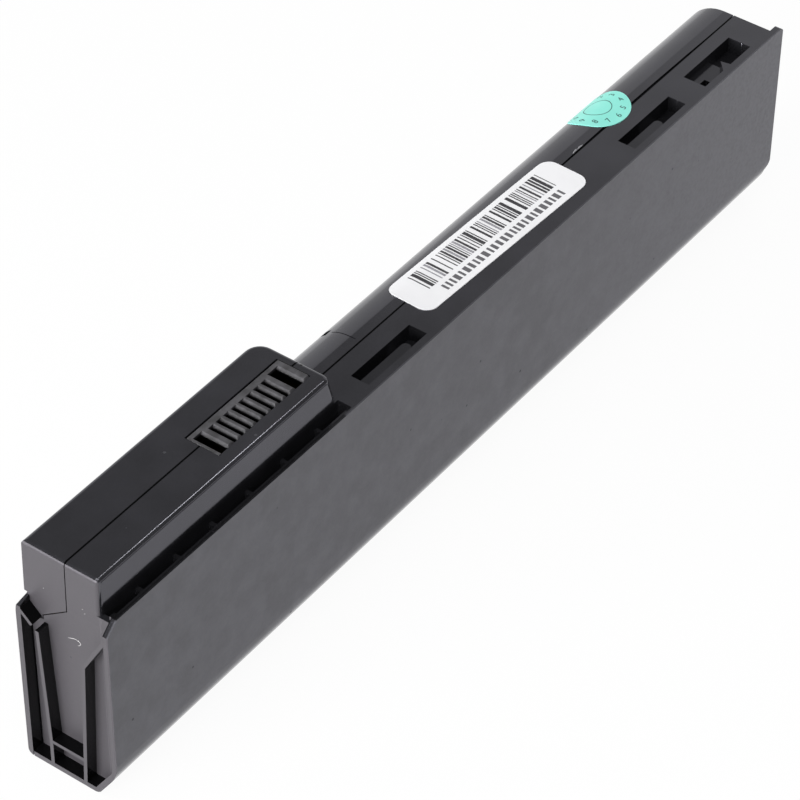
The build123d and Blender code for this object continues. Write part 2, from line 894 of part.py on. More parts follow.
def strap_leaf(x: float, tab_depth: float, tab_top: float) -> Part:
    """Return one flat leaf of a strap at x, with a tab that ends at a depth and a height."""
    low_end = row_heights[0] - strap_reach
    high_end = row_heights[-1] + strap_reach
    with BuildPart() as leaf:
        with BuildSketch(section_plane(x)) as strip:
            with Locations((cell_axis_depth, low_end)):
                Rectangle(strap_width, high_end - low_end, align=(Align.CENTER, Align.MIN))
            with Locations((cell_axis_depth, high_end)):
                Rectangle(strap_tab_width, tab_top - high_end, align=(Align.CENTER, Align.MIN))
            if tab_depth > cell_axis_depth:
                with Locations((cell_axis_depth, tab_top)):
                    Rectangle(tab_depth - cell_axis_depth, strap_tab_width, align=(Align.MIN, Align.MAX))
        extrude(amount=strap_thickness)
    return leaf.part


# Leads: height of each above the cells, and how far it stands in from the back
positive_lead_depth = depth - positive_lead_inset
positive_lead_height = board_bottom - lead_gap - positive_lead_diameter / 2
low_lead_depth = depth - low_lead_inset
low_lead_height = body_height - low_lead_drop
high_lead_depth = depth - high_lead_inset
high_lead_height = body_height - high_lead_drop
lead_bend = min(block_end - block_wall, column_starts[0] + cell_length - lead_straight)
lead_end = lead_bend - lead_bend_length - lead_tail
sense_landing = board_bottom - lead_gap - sense_lead_diameter / 2
sense_radius = sense_lead_diameter / 2

# Straps: one leaf at each end of the stack, and a folded pair of leaves between columns
with BuildPart() as strap_negative:
    add(strap_leaf(stack_start - strap_thickness, 0, board_bottom - lead_gap))
save(strap_negative, "strap_negative")

with BuildPart() as strap_positive:
    add(
        strap_leaf(
            stack_end,
            positive_lead_depth + positive_lead_diameter / 2,
            positive_lead_height + positive_lead_diameter / 4,
        )
    )
save(strap_positive, "strap_positive")

for name, column, lead_depth, lead_height in (
    ("strap_low", 0, low_lead_depth, low_lead_height),
    ("strap_high", 1, high_lead_depth, high_lead_height),
):
    strap_start = column_starts[column] + cell_length
    with BuildPart() as strap:
        add(strap_leaf(strap_start, lead_depth + sense_radius, lead_height + sense_radius))
        add(strap_leaf(strap_start + strap_thickness + strap_fold, 0, lead_height + sense_radius))
        add(
            corner_box(
                strap_start,
                cell_axis_depth - strap_tab_width / 2,
                lead_height + sense_radius - strap_thickness,
                2 * strap_thickness + strap_fold,
                strap_tab_width,
                strap_thickness,
            )
        )
    save(strap, name)

with BuildPart() as positive_lead:
    with BuildSketch(section_plane(lead_end)) as wire:
        with Locations((positive_lead_depth, positive_lead_height)):
            Circle(positive_lead_diameter / 2)
    extrude(amount=stack_end - lead_end)
save(positive_lead, "positive_lead")

for name, column, lead_depth, lead_height in (
    ("sense_lead_low", 0, low_lead_depth, low_lead_height),
    ("sense_lead_high", 1, high_lead_depth, high_lead_height),
):
    lead_start = column_starts[column] + cell_length
    route = [
        (corner_x + lead_start, corner_y + lead_depth, lead_height),
        (corner_x + lead_bend, corner_y + lead_depth, lead_height),
        (corner_x + lead_bend - lead_bend_length, corner_y + lead_depth, sense_landing),
        (corner_x + lead_end, corner_y + lead_depth, sense_landing),
    ]
    with BuildPart() as sense_lead:
        with BuildLine() as path:
            FilletPolyline(*route, radius=lead_bend_radius)
        with BuildSketch(section_plane(lead_start)) as wire:
            with Locations((lead_depth, lead_height)):
                Circle(sense_radius)
        sweep(path=path.line)
    save(sense_lead, name)

# Thermistor: a bead on the shoulder of a top cell, with two legs up to the board
thermistor_radius = thermistor_diameter / 2
thermistor_depth = cell_axis_depth + thermistor_offset
bead_distance = cell_radius + thermistor_radius + thermistor_gap
thermistor_height = row_heights[-1] + (bead_distance**2 - thermistor_offset**2) ** 0.5
with BuildPart() as thermistor:
    with BuildSketch(section_plane(thermistor_start)) as bead:
        with Locations((thermistor_depth, thermistor_height)):
            Circle(thermistor_radius)
    extrude(amount=thermistor_length)
    with BuildSketch(plan_plane(thermistor_height)) as legs:
        for share in (0.25, 0.75):
            with Locations((thermistor_start + share * thermistor_length, thermistor_depth)):
                Rectangle(thermistor_leg, thermistor_leg)
    extrude(amount=board_bottom - thermistor_height)
save(thermistor, "thermistor")

# Paper and foam inside
for name, sheet_start in (
    ("end_insulator_near", inner_start + insulator_gap),
    ("end_insulator_far", inner_end - insulator_gap - insulator_thickness),
):
    with BuildPart() as end_insulator:
        with BuildSketch(section_plane(sheet_start)) as sheet_outline:
            add(cavity_outline())
            offset(amount=-insulator_margin, kind=Kind.INTERSECTION, mode=Mode.REPLACE)
            with Locations((0, trough_bottom - insulator_margin)):
                Rectangle(depth, body_height, align=(Align.MIN, Align.MIN), mode=Mode.SUBTRACT)
        extrude(amount=insulator_thickness)
    save(end_insulator, name)

with BuildPart() as board_pad:
    pad_bottom = cells_top + pad_gap
    pad_front = cell_axis_depth - pad_width / 2
    add(corner_box(pad_start, pad_front, pad_bottom, pad_length, pad_width, board_bottom - pad_bottom))
save(board_pad, "board_pad")


def skin(start: float, end: float, sheet: float) -> Part:
    """Return a thin sheet that lies on the outside of the body from start to end."""
    with BuildPart() as wrap:
        extrude(body_section(start, sheet), amount=end - start)
        extrude(body_section(start), amount=end - start, mode=Mode.SUBTRACT)
    return wrap.part


# Label and sticker, laid on the top and over its rounded back edge
with BuildPart() as barcode_label:
    add(skin(label_middle - label_length, label_middle + label_length, label_thickness))
    with BuildSketch(plan_plane(body_height - top_back_radius)) as label_outline:
        with Locations((label_middle, label_depth)):
            RectangleRounded(label_length, label_width, label_radius, rotation=label_turn)
    extrude(amount=2 * top_back_radius, mode=Mode.INTERSECT)
save(barcode_label, "barcode_label")

bend_start = depth - top_back_radius
wrapped_outline = []
for count in range(sticker_points):
    turn = Vector(sticker_radius, 0).rotate(Axis.Z, 360 * count / sticker_points)
    along = sticker_depth + turn.Y
    past = max(along - bend_start, 0)
    bent = Vector(0, top_back_radius).rotate(Axis.Z, -degrees(past / top_back_radius))
    wrapped_outline.append((sticker_middle + turn.X, min(along, bend_start) + bent.X))

with BuildPart() as date_sticker:
    sticker_reach = 2 * sticker_radius
    add(skin(sticker_middle - sticker_reach, sticker_middle + sticker_reach, label_thickness))
    with BuildSketch(plan_plane(body_height - top_back_radius)) as sticker_outline:
        with BuildLine():
            Spline(*wrapped_outline, periodic=True)
        make_face()
    extrude(amount=2 * top_back_radius, mode=Mode.INTERSECT)
save(date_sticker, "date_sticker")
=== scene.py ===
"""Looks of a laptop battery: its moulded shells, blade connector, label, sticker and the parts inside.

Every CAD node keeps its shape and gets a finish. The print of the label and the sticker, the flash on
the seam and the dust are pieces of their own, laid on the surfaces that carry them.
"""

import logging
import math
import random
from dataclasses import dataclass, field
from enum import Enum

import bpy
from mathutils import Matrix, Vector

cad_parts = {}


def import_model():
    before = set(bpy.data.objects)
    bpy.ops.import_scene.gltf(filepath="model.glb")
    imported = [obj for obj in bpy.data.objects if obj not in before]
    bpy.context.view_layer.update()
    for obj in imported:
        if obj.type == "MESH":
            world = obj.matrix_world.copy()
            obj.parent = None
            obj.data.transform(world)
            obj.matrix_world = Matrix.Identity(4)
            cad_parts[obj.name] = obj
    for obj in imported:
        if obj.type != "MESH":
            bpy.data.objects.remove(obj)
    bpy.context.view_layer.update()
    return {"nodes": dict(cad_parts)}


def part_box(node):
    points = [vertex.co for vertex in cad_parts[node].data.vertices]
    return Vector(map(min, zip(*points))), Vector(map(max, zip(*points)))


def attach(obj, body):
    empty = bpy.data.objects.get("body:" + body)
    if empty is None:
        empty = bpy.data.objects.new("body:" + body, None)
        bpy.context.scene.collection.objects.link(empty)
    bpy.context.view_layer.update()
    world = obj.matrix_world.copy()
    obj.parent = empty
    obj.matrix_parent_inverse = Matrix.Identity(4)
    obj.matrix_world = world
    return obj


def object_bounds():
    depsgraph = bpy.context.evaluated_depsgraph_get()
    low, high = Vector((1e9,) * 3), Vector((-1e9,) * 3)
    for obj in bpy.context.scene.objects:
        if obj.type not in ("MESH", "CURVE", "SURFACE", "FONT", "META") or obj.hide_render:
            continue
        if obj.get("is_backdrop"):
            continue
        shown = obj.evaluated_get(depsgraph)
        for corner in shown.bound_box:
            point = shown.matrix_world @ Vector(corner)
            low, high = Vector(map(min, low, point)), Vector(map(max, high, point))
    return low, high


MM = 0.001
BLACK = "#000000"
WHITE = "#ffffff"
PRINT_LIFT = 0.012  # height of print above its paper, in millimetres
LOG = logging.getLogger("battery")

# What can feed a socket: a node's main output, another of its outputs, or a plain value.
Source = bpy.types.Node | bpy.types.NodeSocket | float | tuple[float, ...]


def linear(code: str) -> tuple[float, float, float, float]:
    """Turn an sRGB hex code into linear colour.

    Args:
        code: six hex digits after a hash.

    Returns:
        Red, green, blue and a full alpha.
    """
    parts = [int(code[place : place + 2], 16) / 255 for place in (1, 3, 5)]
    red, green, blue = (c / 12.92 if c <= 0.04045 else ((c + 0.055) / 1.055) ** 2.4 for c in parts)
    return red, green, blue, 1.0


def direction(azimuth: float, elevation: float) -> Vector:
    """Return the direction at an angle from +X towards +Y and an angle above the floor, in degrees."""
    around, up = math.radians(azimuth), math.radians(elevation)
    return Vector((math.cos(up) * math.cos(around), math.cos(up) * math.sin(around), math.sin(up)))


@dataclass
class Net:
    """The nodes of a material or of the world.

    Attributes:
        tree: the tree that takes new nodes.
        places: what carries the places on the object, in metres.
    """

    tree: bpy.types.NodeTree
    places: Source = 0.0

    def feed(self, socket: bpy.types.NodeSocket, source: Source) -> None:
        """Link a socket to a node or an output, or set a plain value on it.

        Args:
            socket: input of a node.
            source: what feeds it.
        """
        if isinstance(source, bpy.types.Node):
            source = next(output for output in source.outputs if output.enabled)
        if isinstance(source, bpy.types.NodeSocket):
            self.tree.links.new(source, socket)
        else:
            socket.default_value = source

    def add(
        self,
        kind: str,
        inputs: dict[str | int, Source] | tuple[Source, ...] = (),
        **settings: object,
    ) -> bpy.types.Node:
        """Add a shader node with its settings and links.

        Args:
            kind: Blender's name for the node without its ShaderNode prefix.
            inputs: what feeds its sockets, in their order or by name or number.
            settings: the node's own properties.

        Returns:
            The new node.
        """
        node = self.tree.nodes.new(f"ShaderNode{kind}")
        for name, value in settings.items():
            setattr(node, name, value)
        for socket, source in inputs.items() if isinstance(inputs, dict) else enumerate(inputs):
            self.feed(node.inputs[socket], source)
        return node


@dataclass(frozen=True)
class Finish:
    """A plain material: two close colours that drift into each other, with a grain that lifts it.

    Attributes:
        name: common name of the material and how its surface was made.
        colour: main colour as sRGB hex.
        drift: second colour, which shows in soft patches.
        patch_mm: size of those patches.
        grain_mm: size of the grain.
        lift_mm: height of the grain.
        roughness: microscopic roughness.
        metallic: 1 for a metal.
        ior: refractive index, which gives the strength of its gloss.
        specular: share of that gloss, 0.5 being the plain strength.
        gloss: colour of the gloss.
        stretch: how much longer than wide patches and grain run along X.
        edge_mm: radius that softens sharp edges, 0 for none.
        patch_span: values of the patches' noise between which the colours turn into each other.
        swing: how far the roughness follows the grain to either side.
    """

    name: str
    colour: str
    drift: str
    patch_mm: float
    grain_mm: float
    lift_mm: float
    roughness: float
    metallic: float = 0.0
    ior: float = 1.5
    specular: float = 0.5
    gloss: str = WHITE
    stretch: float = 1.0
    edge_mm: float = 0.0
    patch_span: tuple[float, float] = (0.35, 0.68)
    swing: float = 0.05

    def tint(self, net: Net) -> Source:
        """Return the colour over the surface.

        Args:
            net: the material's nodes.

        Returns:
            What carries the colour.
        """
        scale = 1 / (self.patch_mm * MM)
        patches = net.add("TexNoise", {"Vector": net.places, "Scale": scale, "Detail": 3.0})
        share = net.add("MapRange", (patches, *self.patch_span))
        colours = {6: linear(self.colour), 7: linear(self.drift)}
        return net.add("Mix", {0: share, **colours}, data_type="RGBA")

    def polish(self, net: Net, grain: Source) -> Source:
        """Return the roughness over the surface, uneven with the grain.

        Args:
            net: the material's nodes.
            grain: height of the grain.

        Returns:
            What carries the roughness.
        """
        low = max(self.roughness - self.swing, self.swing)
        return net.add("MapRange", (grain, 0.0, 1.0, low, self.roughness + self.swing))

    def relief(self, net: Net) -> Source:
        """Return how strongly the grain shows."""
        return 1.0

    def facing(self, net: Net, normal: Source) -> Source:
        """Return the direction that the surface faces, as the grain left it."""
        return normal

    def shine(self, net: Net) -> Source:
        """Return the colour of the gloss."""
        return linear(self.gloss)

    def build(self) -> bpy.types.Material:
        """Make the material.

        Returns:
            A material with a Principled shader.
        """
        material = bpy.data.materials.new(self.name)
        material.use_nodes = True
        net = Net(material.node_tree)
        shader = net.tree.nodes["Principled BSDF"].inputs
        spots = net.add("TexCoord").outputs["Object"]
        net.places = net.add("Mapping", {"Vector": spots, "Scale": (1 / self.stretch, 1, 1)})
        net.feed(shader["Base Color"], self.tint(net))
        scale = 1 / (self.grain_mm * MM)
        grain = net.add("TexNoise", {"Vector": net.places, "Scale": scale, "Detail": 2.0})
        net.feed(shader["Roughness"], self.polish(net, grain))
        lift = {"Height": grain, "Distance": self.lift_mm * MM, "Strength": self.relief(net)}
        bump = net.add("Bump", lift)
        if self.edge_mm > 0:
            soft = net.add("Bevel", {"Radius": self.edge_mm * MM}, samples=6)
            net.feed(bump.inputs["Normal"], soft)
        net.feed(shader["Normal"], self.facing(net, bump))
        shader["Metallic"].default_value = self.metallic
        if self.metallic == 0:
            shader["IOR"].default_value = self.ior
            shader["Specular IOR Level"].default_value = self.specular
            net.feed(shader["Specular Tint"], self.shine(net))
        return material


@dataclass(frozen=True)
class SpeckledFinish(Finish):
    """A moulded finish that also carries tiny dark specks, as a textured mould leaves them.

    Attributes:
        speck: colour of the specks.
        speck_mm: mean distance between specks.
        speck_share: radius of a speck as a share of that distance.
    """

    speck: str = "#1c1c1e"
    speck_mm: float = 7.0
    speck_share: float = 0.05

    def tint(self, net: Net) -> Source:
        """Return the colour over the surface, darkened at the specks."""
        colours = {6: super().tint(net), 7: linear(self.speck)}
        return net.add("Mix", {0: self.specks(net), **colours}, data_type="RGBA")

    def specks(self, net: Net) -> Source:
        """Return 1 on a speck and 0 between them."""
        cells = net.add("TexVoronoi", {"Vector": net.places, "Scale": 1 / (self.speck_mm * MM)})
        return net.add("MapRange", (cells, self.speck_share / 2, self.speck_share, 1.0, 0.0))


@dataclass(frozen=True)
class SlottedFinish(Finish):
    """A moulding with deep slots, whose colour and gloss fade with the depth below its top: painted
    shade.

    Attributes:
        top_mm: height of the moulding's top.
        fade_mm: depths at which they begin to fade and have faded out.
        deep: colour of the painted shade deep in the slots.
    """

    top_mm: float = 49.0
    fade_mm: tuple[float, float] = (0.25, 0.8)
    # Painted shade: the slots are painted this near-black colour.
    deep: str = "#050505"

    def depth(self, net: Net) -> Source:
        """Return the share of painted shade: 0 at the top and 1 deep in the slots.

        Args:
            net: the material's nodes.

        Returns:
            What carries the share.
        """
        height = net.add("SeparateXYZ", (net.places,)).outputs["Z"]
        high, low = ((self.top_mm - fade) * MM for fade in self.fade_mm)
        return net.add("MapRange", (height, low, high, 1.0, 0.0))

    def tint(self, net: Net) -> Source:
        """Return the colour over the surface, painted black in the slots as painted shade."""
        colours = {6: super().tint(net), 7: linear(self.deep)}
        return net.add("Mix", {0: self.depth(net), **colours}, data_type="RGBA")

    def shine(self, net: Net) -> Source:
        """Return the colour of the gloss, taken out in the slots as painted shade."""
        colours = {6: linear(self.gloss), 7: linear(BLACK)}
        return net.add("Mix", {0: self.depth(net), **colours}, data_type="RGBA")


@dataclass(frozen=True)
class CaseFinish(SpeckledFinish):
    """The case's plastic: nearly smooth, with a matte grain on the big front plate and on both ends,
    and with painted light and painted shade in places.

    A box is given by its low and high limits along X, Y and Z.

    Attributes:
        plate_y_mm: depth of the front plate's face.
        plate_fade_mm: how far behind that face the grain has faded out.
        plate_roughness: roughness of the grained face.
        plate_haze: colour of the soft pale clouds on that face.
        haze_mm: size of those clouds.
        haze_span: values of the clouds' noise between which they thicken.
        worn: colour of the far half of that face, painted paler towards the far end as painted light,
            broken up by grains.
        worn_mm: size of the grains there.
        worn_span: values of the grains' noise between which they pale.
        worn_least: share of that colour between the grains.
        worn_x_mm: lengths between which that painted light sets in.
        end_x_mm: distance from the middle beyond which the faces of both ends are matte.
        end_roughness: roughness of those faces.
        end_colour: their colour, painted paler than the rest of the case: painted light.
        end_gloss: colour of their gloss.
        speck_roughness: how much rougher a speck is.
        square_on: share of a face's direction above which it looks along an axis.
        pocket_mm: box that holds the walls of the near end's pockets.
        seam_y_mm: depth of the seam in the block's top.
        seam_step_mm: how far the seam jumps forward behind the block.
        seam_step_x_mm: length at which it jumps.
        seam_half_mm: half the width of the dark line that the seam's rounded edges make.
        lip_z_mm: height of the plate's lip, which the block shades.
        lip_half_mm: how far a face may lie from that height.
        lip_share: how far light is kept off that lip.
        slot_mm: box that holds the hook slots and the groove.
        slot_share: how far light is kept out of that box.
        shade: colour where no light gets in.
        smooth_relief: share of the grain that is left off the plate.
        block_y_mm: depth of the connector block's front.
        block_half_mm: how far a face may lie from that depth.
        block_lean: rise of that front's crown, which turns its reflection up over the plate.
    """

    plate_y_mm: float = -10.15
    plate_fade_mm: float = 0.5
    plate_roughness: float = 0.45
    plate_haze: str = "#343438"
    haze_mm: float = 4.0
    haze_span: tuple[float, float] = (0.38, 0.7)
    # Painted light: the plate's far half is painted paler in this colour.
    worn: str = "#4a4a4e"
    worn_mm: float = 0.8
    worn_span: tuple[float, float] = (0.3, 0.6)
    worn_least: float = 0.45
    worn_x_mm: tuple[float, float] = (20.0, 100.0)
    end_x_mm: float = 99.4
    end_roughness: float = 0.45
    # Painted light: the faces of both ends are painted paler in this colour.
    end_colour: str = "#39373a"
    end_gloss: str = "#a9a6ae"
    speck_roughness: float = 0.4
    square_on: float = 0.7
    pocket_mm: tuple[tuple[float, float], ...] = ((-103.0, -100.02), (-9.2, 9.2), (0.9, 50.0))
    seam_y_mm: float = 0.85
    seam_step_mm: float = 1.1
    seam_step_x_mm: float = -38.0
    seam_half_mm: float = 0.2
    lip_z_mm: float = 42.6
    lip_half_mm: float = 0.1
    lip_share: float = 0.75
    slot_mm: tuple[tuple[float, float], ...] = ((-98.8, 98.8), (-9.0, -0.6), (33.0, 42.45))
    slot_share: float = 0.32
    shade: str = "#0c0c0d"
    smooth_relief: float = 0.1
    block_y_mm: float = -6.45
    block_half_mm: float = 0.05
    block_lean: float = 0.38

    def plate(self, net: Net, on_plate: float, elsewhere: float) -> Source:
        """Return one value on the front plate that turns into another behind it.

        Args:
            net: the material's nodes.
            on_plate: value on the plate.
            elsewhere: value on all other faces.

        Returns:
            What carries the value.
        """
        depth = net.add("SeparateXYZ", (net.places,)).outputs["Y"]
        front = self.plate_y_mm * MM
        back = front + self.plate_fade_mm * MM
        return net.add("MapRange", (depth, front, back, on_plate, elsewhere))

    def ends(self, net: Net) -> Source:
        """Return 1 on the faces that look outwards at both ends, and 0 elsewhere.

        Args:
            net: the material's nodes.

        Returns:
            What carries the share.
        """
        length = net.add("SeparateXYZ", (net.places,)).outputs["X"]
        way = net.add("NewGeometry").outputs["True Normal"]
        outward = net.add("SeparateXYZ", (way,)).outputs["X"]
        share: Source = 1.0
        for value, limit in ((length, self.end_x_mm * MM), (outward, self.square_on)):
            size = net.add("Math", (value,), operation="ABSOLUTE")
            beyond = net.add("Math", (size, limit), operation="GREATER_THAN")
            share = net.add("Math", (beyond, share), operation="MULTIPLY")
        return share

    @staticmethod
    def inside(net: Net, box: tuple[tuple[float, float], ...], share: Source) -> Source:
        """Keep a share inside a box and drop it outside.

        Args:
            net: the material's nodes.
            box: low and high limits along X, Y and Z, in millimetres.
            share: the share to keep.

        Returns:
            What carries the share.
        """
        axes = net.add("SeparateXYZ", (net.places,)).outputs
        for value, (low, high) in zip(axes, box):
            limits = ((low + high) / 2 * MM, (high - low) / 2 * MM)
            within = net.add("Math", (value, *limits), operation="COMPARE")
            share = net.add("Math", (within, share), operation="MULTIPLY")
        return share

    def seam(self, net: Net, upward: Source) -> Source:
        """Return how far light is kept out of the top's seam and off the lip beside the block.

        Args:
            net: the material's nodes.
            upward: 1 on faces that look up.

        Returns:
            What carries the share.
        """
        axes = net.add("SeparateXYZ", (net.places,)).outputs
        behind = net.add("Math", (axes["X"], self.seam_step_x_mm * MM), operation="GREATER_THAN")
        jump = (behind, -self.seam_step_mm * MM, self.seam_y_mm * MM)
        middle = net.add("Math", jump, operation="MULTIPLY_ADD")
        line = net.add("Math", (axes["Y"], middle, self.seam_half_mm * MM), operation="COMPARE")
        height = (axes["Z"], self.lip_z_mm * MM, self.lip_half_mm * MM)
        level = net.add("Math", height, operation="COMPARE")
        beside = net.add("Math", (self.lip_share, behind), operation="SUBTRACT")
        lip = net.add("Math", (level, beside), operation="MULTIPLY")
        both = net.add("Math", (line, lip), operation="MAXIMUM")
        return net.add("Math", (both, upward), operation="MULTIPLY")

    def shaded(self, net: Net) -> Source:
        """Return how far light is kept out of the pockets, the seam, the slots and the groove.

        Args:
            net: the material's nodes.

        Returns:
            What carries the share.
        """
        way = net.add("NewGeometry").outputs["True Normal"]
        ways = net.add("SeparateXYZ", (way,)).outputs
        sideways = net.add("Math", (ways["X"], 0.0, self.square_on), operation="COMPARE")
        upward = net.add("Math", (ways["Z"], self.square_on), operation="GREATER_THAN")
        share = self.inside(net, self.pocket_mm, sideways)
        for other in (self.seam(net, upward), self.inside(net, self.slot_mm, self.slot_share)):
            share = net.add("Math", (share, other), operation="MAXIMUM")
        return share

    def polish(self, net: Net, grain: Source) -> Source:
        """Return the roughness over the surface, higher on the plate, on the ends and on every speck.

        Args:
            net: the material's nodes.
            grain: height of the grain.

        Returns:
            What carries the roughness.
        """
        uneven = super().polish(net, grain)
        plate = self.plate(net, self.plate_roughness - self.roughness, 0.0)
        rough = net.add("Math", (uneven, plate), operation="ADD")
        extras = {self.ends: self.end_roughness - self.roughness, self.specks: self.speck_roughness}
        for share, extra in extras.items():
            rough = net.add("Math", (share(net), extra, rough), operation="MULTIPLY_ADD")
        return rough

    def shine(self, net: Net) -> Source:
        """Return the colour of the gloss, weak on the ends and gone where light hardly gets in.

        Args:
            net: the material's nodes.

        Returns:
            What carries the colour.
        """
        gloss: Source = linear(self.gloss)
        for share, layer in ((self.ends(net), self.end_gloss), (self.shaded(net), BLACK)):
            gloss = net.add("Mix", {0: share, 6: gloss, 7: linear(layer)}, data_type="RGBA")
        return gloss

    def tint(self, net: Net) -> Source:
        """Return the colour over the surface: clouds on the plate, painted light on its far half and
        on the ends, and painted shade where light hardly gets in.

        Args:
            net: the material's nodes.

        Returns:
            What carries the colour.
        """
        plate = self.plate(net, 1.0, 0.0)
        scale = 1 / (self.haze_mm * MM)
        clouds = net.add("TexNoise", {"Vector": net.places, "Scale": scale, "Detail": 5.0})
        thick = net.add("MapRange", (clouds, *self.haze_span))
        grit = net.add("TexNoise", {"Vector": net.places, "Scale": 1 / (self.worn_mm * MM)})
        pale = net.add("MapRange", (grit, *self.worn_span, self.worn_least, 1.0))
        length = net.add("SeparateXYZ", (net.places,)).outputs["X"]
        far = net.add("MapRange", (length, *(limit * MM for limit in self.worn_x_mm)))
        worn = net.add("Math", (far, pale), operation="MULTIPLY")
        # Painted light makes the plate's far half and the ends paler; painted shade darkens the
        # pockets, seam, lip and slots.
        layers = (
            (net.add("Math", (thick, plate), operation="MULTIPLY"), self.plate_haze),
            (net.add("Math", (worn, plate), operation="MULTIPLY"), self.worn),
            (self.ends(net), self.end_colour),
            (self.shaded(net), self.shade),
        )
        colour = super().tint(net)
        for share, layer in layers:
            colour = net.add("Mix", {0: share, 6: colour, 7: linear(layer)}, data_type="RGBA")
        return colour

    def relief(self, net: Net) -> Source:
        """Return how strongly the grain shows: fully on the plate."""
        return self.plate(net, 1.0, self.smooth_relief)

    def facing(self, net: Net, normal: Source) -> Source:
        """Return the direction that the surface faces, tipped up on the front of the connector block.

        Args:
            net: the material's nodes.
            normal: direction that the grain left.

        Returns:
            What carries the direction.
        """
        depth = net.add("SeparateXYZ", (net.places,)).outputs["Y"]
        limits = (self.block_y_mm * MM, self.block_half_mm * MM)
        front = net.add("Math", (depth, *limits), operation="COMPARE")
        lean = net.add("Math", (front, self.block_lean), operation="MULTIPLY")
        tipped = net.add("VectorMath", (normal, net.add("CombineXYZ", {"Z": lean})), operation="ADD")
        return net.add("VectorMath", (tipped,), operation="NORMALIZE")


# Moulded ABS, nearly black: smooth faces mirror the pale floor at a low angle and look grey, and faces
# that look up stay dark. The front plate has a fine spark-eroded grain of about 0.1 mm, too fine to
# show, so it is drawn at 0.45 mm. The gloss is stronger than plain ABS has it, because the studio's
# floor was over-bright.
CASE_ABS = CaseFinish(
    name="moulded_abs_black",
    colour="#1a1a1c",
    drift="#232326",
    patch_mm=9.0,
    grain_mm=0.45,
    lift_mm=0.012,
    roughness=0.14,
    ior=1.53,
    specular=1.0,
    gloss="#f3f2ff",
)
# Glass-filled nylon takes finer detail and comes from the mould a little paler than the case, clouded
# by its fibres.
INSERT_NYLON = SlottedFinish(
    name="moulded_nylon_grey",
    colour="#2b2a2d",
    drift="#48474b",
    patch_mm=1.6,
    grain_mm=0.35,
    lift_mm=0.02,
    roughness=0.36,
    ior=1.53,
    specular=0.8,
    edge_mm=0.12,
)
# Flash gold over spring bronze: warm, darkened as painted shade of the slots that hold it, with fine
# rolling marks along the strip.
CONTACT_GOLD = Finish(
    name="gold_plated_bronze",
    colour="#6a5734",
    drift="#57462a",
    patch_mm=2.0,
    grain_mm=0.2,
    lift_mm=0.002,
    roughness=0.28,
    metallic=1.0,
    stretch=4.0,
)
# Rolled nickel strip: a soft grey mirror with the marks of the rollers along it.
NICKEL = Finish(
    name="rolled_nickel",
    colour="#c9c5bd",
    drift="#b8b4ac",
    patch_mm=3.0,
    grain_mm=0.25,
    lift_mm=0.002,
    roughness=0.3,
    metallic=1.0,
    stretch=6.0,
)
# Solder mask over woven glass: glossy green in which the weave just shows.
SOLDER_MASK = Finish(
    name="solder_masked_glass",
    colour="#14502d",
    drift="#1b6338",
    patch_mm=4.0,
    grain_mm=0.6,
    lift_mm=0.004,
    roughness=0.3,
)
# Transfer-moulded epoxy: charcoal and matte, with the filler showing as a fine salt.
CHIP_EPOXY = SpeckledFinish(
    name="moulded_epoxy",
    colour="#232325",
    drift="#2a2a2c",
    patch_mm=1.5,
    grain_mm=0.2,
    lift_mm=0.004,
    roughness=0.55,
    speck="#4a4a4c",
    speck_mm=0.6,
)
# Fired ceramic between tinned ends: chalky tan, slightly uneven in tone.
CERAMIC = Finish(
    name="fired_ceramic",
    colour="#b49a78",
    drift="#a68a66",
    patch_mm=0.8,
    grain_mm=0.15,
    lift_mm=0.003,
    roughness=0.45,
)
# Heat-shrunk PVC film: glossy, with the slight waves it takes up round the can.
SLEEVE_PVC = Finish(
    name="shrunk_pvc_sleeve",
    colour="#2f6fa8",
    drift="#2a649a",
    patch_mm=18.0,
    grain_mm=5.0,
    lift_mm=0.05,
    roughness=0.3,
    ior=1.53,
)
# Extruded silicone on a wire: satin, with faint bands from the die.
LEAD_RED = Finish(
    name="extruded_silicone_red",
    colour="#b02a22",
    drift="#9e231d",
    patch_mm=6.0,
    grain_mm=0.5,
    lift_mm=0.008,
    roughness=0.45,
    ior=1.41,
    stretch=5.0,
)
LEAD_WHITE = Finish(
    name="extruded_silicone_white",
    colour="#dedcd6",
    drift="#d0cdc5",
    patch_mm=6.0,
    grain_mm=0.5,
    lift_mm=0.008,
    roughness=0.45,
    ior=1.41,
    stretch=5.0,
)
# Pressed insulating paper: hard and tan, with fibres that run one way.
PRESSED_PAPER = Finish(
    name="pressed_fish_paper",
    colour="#c2ad80",
    drift="#b39b6c",
    patch_mm=3.0,
    grain_mm=0.3,
    lift_mm=0.01,
    roughness=0.7,
    stretch=5.0,
)
# Closed-cell foam: grey and dull, with open cells at its cut faces.
FOAM = Finish(
    name="closed_cell_foam",
    colour="#4a4a4d",
    drift="#3d3d40",
    patch_mm=1.2,
    grain_mm=0.8,
    lift_mm=0.15,
    roughness=0.9,
)
# Coated label paper: bright and smooth, only just warmer in places.
LABEL_PAPER = Finish(
    name="coated_label_paper",
    colour="#f4f4f6",
    drift="#efeff1",
    patch_mm=10.0,
    grain_mm=0.6,
    lift_mm=0.003,
    roughness=0.5,
    ior=1.45,
)
# Coated paper printed all over with one even pass of turquoise.
STICKER_PAPER = Finish(
    name="printed_turquoise_paper",
    colour="#8eeadb",
    drift="#98efe1",
    patch_mm=5.0,
    grain_mm=0.5,
    lift_mm=0.003,
    roughness=0.42,
    ior=1.45,
)
# Thermal-transfer ink: a dull charcoal film whose edges break up a little.
PRINT_INK = Finish(
    name="transfer_print_ink",
    colour="#2c2b2e",
    drift="#3c3b3f",
    patch_mm=0.7,
    grain_mm=0.2,
    lift_mm=0.001,
    roughness=0.55,
)
